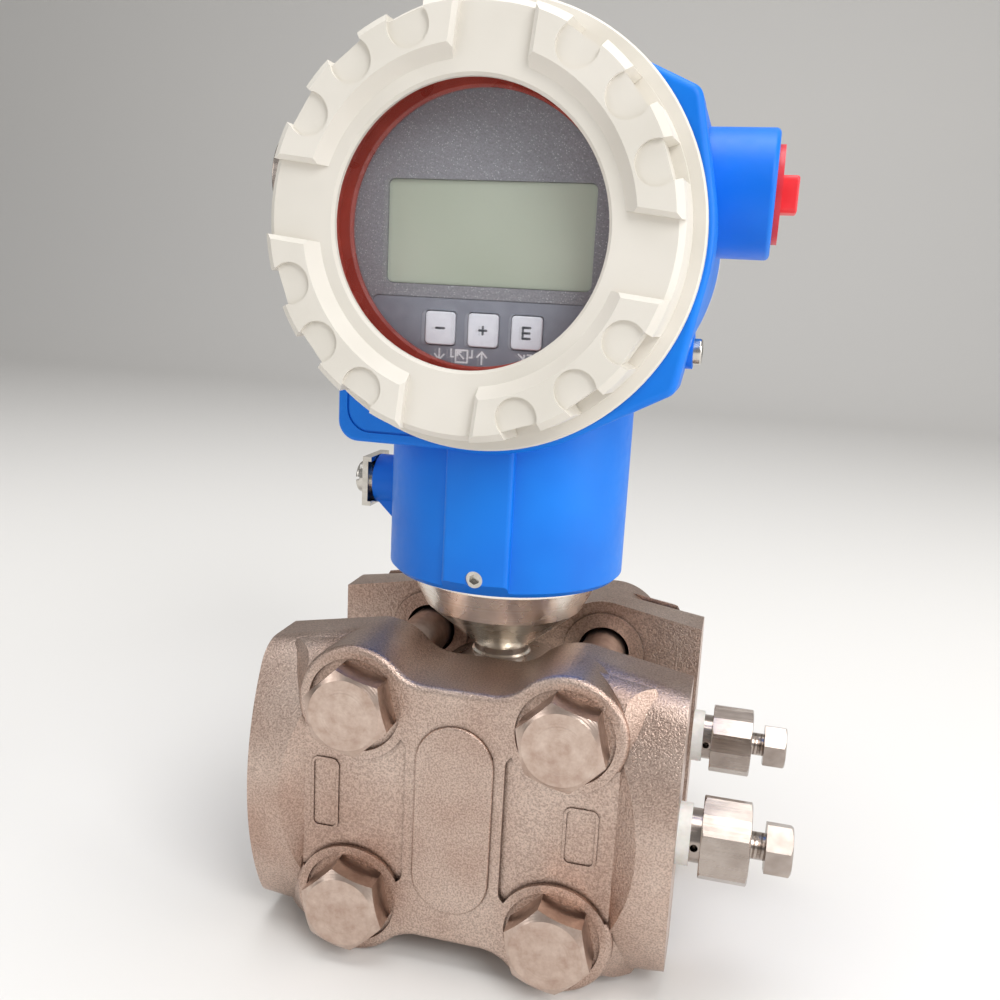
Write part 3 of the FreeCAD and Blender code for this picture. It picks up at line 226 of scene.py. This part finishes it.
# ---- Vent valves
# Hexagon bar, turned and drilled, screwed into each port over white sealing tape. A small screw
# with its own hexagon presses a ball on the seat inside.

vent_y = 27 * mm
thread_pitch = 1.0 * mm
thread_reach = 3.2 * mm


def drawn_bar():
    """Cold-drawn stainless hexagon bar: flats with long faint streaks from the die."""
    made, tree, shader = material("drawn stainless hexagon bar", Metallic=1.0)
    streak = cloud(tree, 0.7 * mm, place(tree, (0.06, 1, 1)), 2.0)
    patch = cloud(tree, 5 * mm, place(tree), 2.0)
    tree.links.new(tones(tree, patch, "#A3978F", "#B9AEA6"), shader.inputs["Base Color"])
    tree.links.new(between(tree, streak, 0.18, 0.3), shader.inputs["Roughness"])
    relief(tree, shader, streak, 0.012 * mm, 0.5)
    return made


def threaded_stem(y, pitch):
    """The same bar, threaded: a helix of the given pitch wherever the axis is nearer than thread_reach."""
    made, tree, shader = material("threaded stainless stem", Metallic=1.0, Roughness=0.26)
    spot = place(tree, shift=(0, -y, 0))
    split = add(tree, "ShaderNodeSeparateXYZ", {"Vector": spot})
    around = add(tree, "ShaderNodeMath", {0: split.outputs["Z"], 1: split.outputs["Y"]}, operation="ARCTAN2")
    lead = add(tree, "ShaderNodeMath", {0: around.outputs[0], 1: pitch / (2 * math.pi)}, operation="MULTIPLY")
    climb = add(tree, "ShaderNodeMath", {0: split.outputs["X"], 1: lead.outputs[0]}, operation="ADD")
    ridge = add(tree, "ShaderNodeMath", {0: climb.outputs[0], 1: pitch / 2}, operation="PINGPONG")
    flat = add(tree, "ShaderNodeCombineXYZ", {"X": split.outputs["Y"], "Y": split.outputs["Z"]})
    radius = add(tree, "ShaderNodeVectorMath", {0: flat.outputs[0]}, operation="LENGTH").outputs["Value"]
    inside = add(tree, "ShaderNodeMath", {0: radius, 1: thread_reach}, operation="LESS_THAN")
    cut = add(tree, "ShaderNodeMath", {0: ridge.outputs[0], 1: inside.outputs[0]}, operation="MULTIPLY")
    deep = add(tree, "ShaderNodeMath", {0: cut.outputs[0], 1: 2.0 / pitch}, operation="MULTIPLY").outputs[0]
    tree.links.new(tones(tree, cloud(tree, 3 * mm, spot), "#A3978F", "#B9AEA6"), shader.inputs["Base Color"])
    relief(tree, shader, deep, 0.16 * mm, 0.8)
    return made


wear(drawn_bar(), "vent_body_front", "vent_body_rear", "blanking_plug")
wear(threaded_stem(-vent_y, thread_pitch), "vent_screw_front")
wear(threaded_stem(vent_y, thread_pitch), "vent_screw_rear")


def polished_steel():
    """Bright stainless: nearly mirror smooth with faint handling haze."""
    made, tree, shader = material("polished stainless steel", Metallic=1.0)
    haze = cloud(tree, 1.5 * mm, place(tree), 3.0)
    tree.links.new(tones(tree, haze, "#BDB8B0", "#D8D4CD"), shader.inputs["Base Color"])
    tree.links.new(between(tree, haze, 0.14, 0.26), shader.inputs["Roughness"])
    return made


wear(polished_steel(), "vent_ball_front", "vent_ball_rear", "housing_set_screw", "cover_lock_screw",
     "ground_washer", "ground_clamp", "ground_screw", "module_screws")

# ---- Housing
# Die-cast aluminium, powder coated in a clear bright blue. The coat levels to a satin gloss with a
# faint orange peel and softens every cast edge.


def powder_coat(name, low, high, rough, peel):
    """Powder coat: even colour, satin gloss, orange peel about two millimetres across."""
    made, tree, shader = material(name, Specular_IOR_Level=0.3)
    spot = place(tree)
    slow = cloud(tree, 22 * mm, spot, 2.0)
    skin = cloud(tree, 2.2 * mm, spot, 1.0)
    tree.links.new(tones(tree, slow, low, high), shader.inputs["Base Color"])
    tree.links.new(between(tree, skin, rough - 0.04, rough + 0.04), shader.inputs["Roughness"])
    relief(tree, shader, skin, peel, 0.5)
    return made


coat_rough = 0.42
wear(powder_coat("satin blue powder coat", "#046FDA", "#077CE6", coat_rough, 0.05 * mm), "housing")

# ---- Cable entry plugs
# A red polyethylene transit plug is pushed into the right entry; a steel hexagon plug with a black
# rubber washer closes the left one.


def red_plug():
    """Moulded polyethylene: strong red, waxy."""
    made, tree, shader = material("moulded red polyethylene", Subsurface_Weight=0.2,
                                  Subsurface_Scale=0.002)
    patch = cloud(tree, 5 * mm, place(tree), 2.0)
    tree.links.new(tones(tree, patch, "#DC2A35", "#EA3943"), shader.inputs["Base Color"])
    tree.links.new(between(tree, patch, 0.34, 0.44), shader.inputs["Roughness"])
    return made


def moulded_rubber(name, low, high, rough):
    """Moulded rubber or silicone: matt, with the fine grain of the mould."""
    made, tree, shader = material(name)
    skin = cloud(tree, 0.8 * mm, place(tree), 2.0)
    tree.links.new(tones(tree, skin, low, high), shader.inputs["Base Color"])
    tree.links.new(between(tree, skin, rough - 0.05, rough + 0.05), shader.inputs["Roughness"])
    relief(tree, shader, skin, 0.03 * mm, 0.4)
    return made


wear(red_plug(), "transit_plug")
wear(moulded_rubber("black nitrile rubber", "#16161A", "#232327", 0.55), "plug_washer", "neck_seal",
     "front_cover_seal", "rear_cover_seal", "key_domes")

# ---- Terminal chamber
# A black moulded block with nickel-plated brass screws, behind the rear cover.

wear(moulded_rubber("black glass-filled nylon", "#1B1B1E", "#2A2A2E", 0.5), "terminal_block", "lcd_spacers",
     "electronics_module")


def nickel_brass():
    """Nickel-plated brass: warm bright metal."""
    made, tree, shader = material("nickel-plated brass", Metallic=1.0)
    haze = cloud(tree, 1.2 * mm, place(tree), 3.0)
    tree.links.new(tones(tree, haze, "#C2B48E", "#DDD2B2"), shader.inputs["Base Color"])
    tree.links.new(between(tree, haze, 0.2, 0.32), shader.inputs["Roughness"])
    return made


wear(nickel_brass(), "terminal_screws")

# ---- Display board
# Glass-epoxy board under green solder mask; the weave shows faintly through it.


def solder_mask():
    """Solder mask over woven glass: green with a fine woven bump."""
    made, tree, shader = material("green solder mask", Roughness=0.35, Coat_Weight=0.3)
    spot = place(tree)
    weave = add(tree, "ShaderNodeTexVoronoi", {"Vector": spot, "Scale": 1400.0, "Randomness": 0.1})
    tree.links.new(tones(tree, weave.outputs["Distance"], "#0F4A26", "#176436"), shader.inputs["Base Color"])
    relief(tree, shader, weave.outputs["Distance"], 0.02 * mm, 0.5)
    return made


wear(solder_mask(), "display_board")

# ---- Display frame, liquid crystal panel and key panel
# The frame is moulded in dark grey with a sparkling grain. The panel is a grey-green cell behind a
# polariser, and the keys sit in a smooth printed film.


def grained_moulding():
    """Dark ABS from an etched mould: fine grain in which a few of the cells glitter."""
    made, tree, shader = material("dark grey ABS, etched grain")
    spot = place(tree)
    grain = cloud(tree, 0.35 * mm, spot, 2.0, 0.7)
    speck = add(tree, "ShaderNodeTexVoronoi", {"Vector": spot, "Scale": 2400.0})
    near = between(tree, speck.outputs["Distance"], 1.0, 0.0, 0.1, 0.36)
    chosen = between(tree, speck.outputs["Color"], 0.0, 1.0, 0.66, 0.8)
    lit = add(tree, "ShaderNodeMath", {0: near, 1: chosen}, operation="MULTIPLY").outputs[0]
    mixed = add(tree, "ShaderNodeMix", {"Factor": lit}, data_type="RGBA")
    tree.links.new(tones(tree, grain, "#7C7C82", "#98989F"), mixed.inputs["A"])
    mixed.inputs["B"].default_value = linear("#CED0D7")
    tree.links.new(mixed.outputs["Result"], shader.inputs["Base Color"])
    tree.links.new(between(tree, grain, 0.42, 0.6), shader.inputs["Roughness"])
    relief(tree, shader, grain, 0.05 * mm, 0.8)
    return made


def crystal_cell():
    """Reflective liquid crystal cell: grey-green in slow, faint patches."""
    made, tree, shader = material("reflective liquid crystal cell", Roughness=0.28, Coat_Weight=0.4,
                                  Coat_Roughness=0.08)
    spot = place(tree)
    slow = cloud(tree, 30 * mm, spot, 1.0)
    tree.links.new(tones(tree, slow, "#B0B8A8", "#BCC3B5"), shader.inputs["Base Color"])
    return made


def printed(tree, strokes, width):
    """One inside the printed strokes, nought outside; a stroke is x, z, x, z in metres."""
    spot = place(tree, (1, 0, 1))
    near = None
    for x0, z0, x1, z1 in strokes:
        run = Vector((x1 - x0, 0, z1 - z0))
        offset = add(tree, "ShaderNodeVectorMath", {0: spot, 1: (x0, 0, z0)}, operation="SUBTRACT").outputs[0]
        along = add(tree, "ShaderNodeVectorMath", {0: offset, 1: run / run.length_squared},
                    operation="DOT_PRODUCT").outputs["Value"]
        held = add(tree, "ShaderNodeClamp", {"Value": along}).outputs["Result"]
        foot = add(tree, "ShaderNodeVectorMath", {0: run, "Scale": held}, operation="SCALE").outputs[0]
        gap = add(tree, "ShaderNodeVectorMath", {0: offset, 1: foot}, operation="DISTANCE").outputs["Value"]
        if near is not None:
            gap = add(tree, "ShaderNodeMath", {0: near, 1: gap}, operation="MINIMUM").outputs[0]
        near = gap
    return between(tree, near, 1.0, 0.0, width * 0.44, width * 0.56)


def shifted(x, z, strokes):
    """Strokes given in millimetres about a point, as metres in the frame."""
    return [(x + a * mm, z + b * mm, x + c * mm, z + d * mm) for a, b, c, d in strokes]


def print_over(tree, shader, under, ink, mask):
    """Mixes an ink tone over a colour where the mask is one."""
    mixed = add(tree, "ShaderNodeMix", {"Factor": mask}, data_type="RGBA")
    tree.links.new(under, mixed.inputs["A"])
    mixed.inputs["B"].default_value = linear(ink)
    tree.links.new(mixed.outputs["Result"], shader.inputs["Base Color"])


key_z = 110.5 * mm
key_minus_x, key_plus_x, key_enter_x = 42.3 * mm, 51.5 * mm, 60.7 * mm
down_arrow = [(-0.1, -4.3, -0.1, -6.5), (-0.1, -6.5, -1.1, -5.4), (-0.1, -6.5, 0.9, -5.4)]
up_arrow = [(-0.1, -4.4, -0.1, -6.9), (-0.1, -4.4, -1.1, -5.5), (-0.1, -4.4, 0.9, -5.5)]
boxed_arrow = [(2.45, -4.2, 2.45, -5.75), (2.45, -5.75, 2.95, -5.75), (3.5, -4.3, 6.0, -4.3),
               (6.0, -4.3, 6.0, -6.8), (6.0, -6.8, 3.5, -6.8), (3.5, -6.8, 3.5, -4.3),
               (3.9, -4.7, 5.2, -6.0), (3.9, -4.7, 3.9, -5.4), (3.9, -4.7, 4.6, -4.7),
               (7.0, -4.25, 7.0, -5.7), (7.0, -5.7, 6.5, -5.7)]
latch = [(-1.5, -4.4, -0.35, -5.35), (-0.3, -4.5, -0.45, -6.0), (-1.4, -6.1, -0.35, -5.3),
         (0.4, -4.4, 1.15, -4.4), (1.15, -4.4, 0.95, -5.5), (0.95, -5.5, 0.1, -5.6)]


def printed_film():
    """Printed polyester film: smooth slate grey with pale marks below the keys."""
    made, tree, shader = material("printed polyester film")
    skin = cloud(tree, 3 * mm, place(tree), 2.0)
    strokes = shifted(key_minus_x, key_z, down_arrow + boxed_arrow)
    strokes += shifted(key_plus_x, key_z, up_arrow) + shifted(key_enter_x, key_z, latch)
    mask = printed(tree, strokes, 0.36 * mm)
    print_over(tree, shader, tones(tree, skin, "#848793", "#8E919D"), "#EEF1F6", mask)
    tree.links.new(between(tree, skin, 0.34, 0.42), shader.inputs["Roughness"])
    return made


wear(grained_moulding(), "display_frame", "window_retainer")
wear(crystal_cell(), "lcd_panel")
wear(printed_film(), "key_panel")

# ---- Keys
# Three pale moulded caps with dark printed marks.


def key_plastic(name, x, strokes):
    """Moulded ABS key cap: pale cool grey with its dark printed mark."""
    made, tree, shader = material("pale ABS key, printed " + name)
    skin = cloud(tree, 1.5 * mm, place(tree), 2.0)
    mask = printed(tree, shifted(x, key_z, strokes), 0.48 * mm)
    print_over(tree, shader, tones(tree, skin, "#E2E5EF", "#EAEDF6"), "#3C4048", mask)
    tree.links.new(between(tree, skin, 0.38, 0.5), shader.inputs["Roughness"])
    return made


minus_mark = [(-0.85, 0, 0.85, 0)]
plus_mark = [(-0.75, 0, 0.75, 0), (0, -0.75, 0, 0.75)]
letter_mark = [(-0.75, 1.1, -0.75, -1.1), (-0.75, 1.1, 0.75, 1.1), (-0.75, 0, 0.65, 0),
               (-0.75, -1.1, 0.75, -1.1)]
wear(key_plastic("minus", key_minus_x, minus_mark), "key_minus")
wear(key_plastic("plus", key_plus_x, plus_mark), "key_plus")
wear(key_plastic("letter", key_enter_x, letter_mark), "key_enter")

# ---- Covers
# Die-cast like the housing and powder coated cream.

wear(powder_coat("satin cream powder coat", "#D8D3C9", "#E3DED5", coat_rough, 0.06 * mm), "display_cover",
     "rear_cover")

# ---- Window
# Toughened glass in a red silicone ring.


def clear_glass():
    """Toughened soda-lime glass."""
    made, tree, shader = material("toughened clear glass", Roughness=0.02, IOR=1.52,
                                  Transmission_Weight=1.0, Alpha=0.12)
    haze = cloud(tree, 12 * mm, place(tree), 2.0)
    tree.links.new(tones(tree, haze, "#F6F9F7", "#FFFFFF"), shader.inputs["Base Color"])
    return made


wear(clear_glass(), "window_glass")


def silicone():
    """Extruded silicone: smooth red-brown with a soft shine."""
    made, tree, shader = material("extruded red-brown silicone")
    slow = cloud(tree, 9 * mm, place(tree), 2.0)
    tree.links.new(tones(tree, slow, "#97392F", "#A8493D"), shader.inputs["Base Color"])
    tree.links.new(between(tree, slow, 0.24, 0.34), shader.inputs["Roughness"])
    return made


wear(silicone(), "window_gasket")

# ---- Studio
# A pale sweep under and behind the transmitter, soft lamps and the camera.

sweep_front, sweep_bend_y, sweep_bend_r = -3.0, 1.2, 0.5
sweep_height, sweep_half_width = 4.0, 4.0


def sweep():
    """Floor and backdrop in one sheet: flat, then a quarter round, then upright."""
    low = cad_box[0][2]
    turn = np.linspace(0, math.pi / 2, 17)
    y = np.concatenate([[sweep_front], sweep_bend_y + sweep_bend_r * np.sin(turn),
                        [sweep_bend_y + sweep_bend_r]])
    z = np.concatenate([[low], low + sweep_bend_r - sweep_bend_r * np.cos(turn), [low + sweep_height]])
    x = np.array([-sweep_half_width, sweep_half_width])
    grid = np.array([[(a, b, c) for a in x] for b, c in zip(y, z)]).reshape(-1, 3)
    rows = len(y)
    faces = [(2 * k, 2 * k + 1, 2 * k + 3, 2 * k + 2) for k in range(rows - 1)]
    mesh = bpy.data.meshes.new("sweep")
    mesh.from_pydata(grid.tolist(), [], faces)
    mesh.polygons.foreach_set("use_smooth", [True] * len(faces))
    floor = bpy.data.objects.new("sweep", mesh)
    bpy.context.scene.collection.objects.link(floor)
    made, tree, shader = material("pale studio paper", Base_Color=linear("#E6E4E1"), Roughness=0.9)
    mesh.materials.append(made)


def flag(name, spot, width, height):
    """A black card that stands square to X, to give the metal a dark edge to reflect."""
    x, y, z = spot
    corners = [(x, y, z), (x, y + width, z), (x, y + width, z + height), (x, y, z + height)]
    mesh = bpy.data.meshes.new(name)
    mesh.from_pydata(corners, [], [(0, 1, 2, 3)])
    card = bpy.data.objects.new(name, mesh)
    bpy.context.scene.collection.objects.link(card)
    made, tree, shader = material("matt black card", Base_Color=linear("#1C1A19"), Roughness=0.9)
    mesh.materials.append(made)


def soft_lamp(name, spot, aim, width, height, power):
    """A rectangular lamp at spot that faces aim."""
    data = bpy.data.lights.new(name, "AREA")
    data.shape = "RECTANGLE"
    data.size, data.size_y, data.energy = width, height, power
    lamp = bpy.data.objects.new(name, data)
    lamp.location = spot
    lamp.rotation_euler = (Vector(aim) - Vector(spot)).to_track_quat("-Z", "Y").to_euler()
    bpy.context.scene.collection.objects.link(lamp)


def photo_camera(spot, azimuth, elevation, roll, lens):
    """A camera at spot that looks along azimuth and elevation, turned by roll; angles in degrees."""
    az, el, ro = (math.radians(a) for a in (azimuth, elevation, roll))
    ahead = Vector((-math.sin(az) * math.cos(el), math.cos(az) * math.cos(el), -math.sin(el)))
    level = Vector((math.cos(az), math.sin(az), 0))
    above = level.cross(ahead)
    right = level * math.cos(ro) + above * math.sin(ro)
    up = above * math.cos(ro) - level * math.sin(ro)
    data = bpy.data.cameras.new("camera")
    data.lens, data.sensor_width = lens, 36.0
    data.clip_start, data.clip_end = 0.01, 50.0
    camera = bpy.data.objects.new("camera", data)
    turn = Matrix((right, up, -ahead)).transposed().to_4x4()
    camera.matrix_world = Matrix.Translation(spot) @ turn
    bpy.context.scene.collection.objects.link(camera)
    bpy.context.scene.camera = camera


sweep()
flag("left flag", (-0.42, -0.45, -0.03), 0.35, 0.22)
soft_lamp("key lamp", (0.75, -0.75, 0.85), (0.05, 0, 0.08), 0.6, 0.6, 8.6)
soft_lamp("fill lamp", (-0.8, -0.6, 0.35), (0.05, 0, 0.06), 0.7, 0.7, 3.5)
soft_lamp("top lamp", (0.05, 0.0, 1.1), (0.05, 0, 0.05), 0.8, 0.8, 8.5)
soft_lamp("right lamp", (0.95, -0.05, 0.25), (0.08, 0, 0.03), 0.5, 0.5, 3)
photo_camera((0.10557, -0.23847, 0.11890), 13.667, 11.938, 3.001, 35.76)

world = bpy.data.worlds.new("studio")
bpy.context.scene.world = world
world.use_nodes = True
world.node_tree.nodes["Background"].inputs["Color"].default_value = linear("#F2F2F2")
world.node_tree.nodes["Background"].inputs["Strength"].default_value = 0.36
bpy.context.scene.view_settings.view_transform = "Standard"
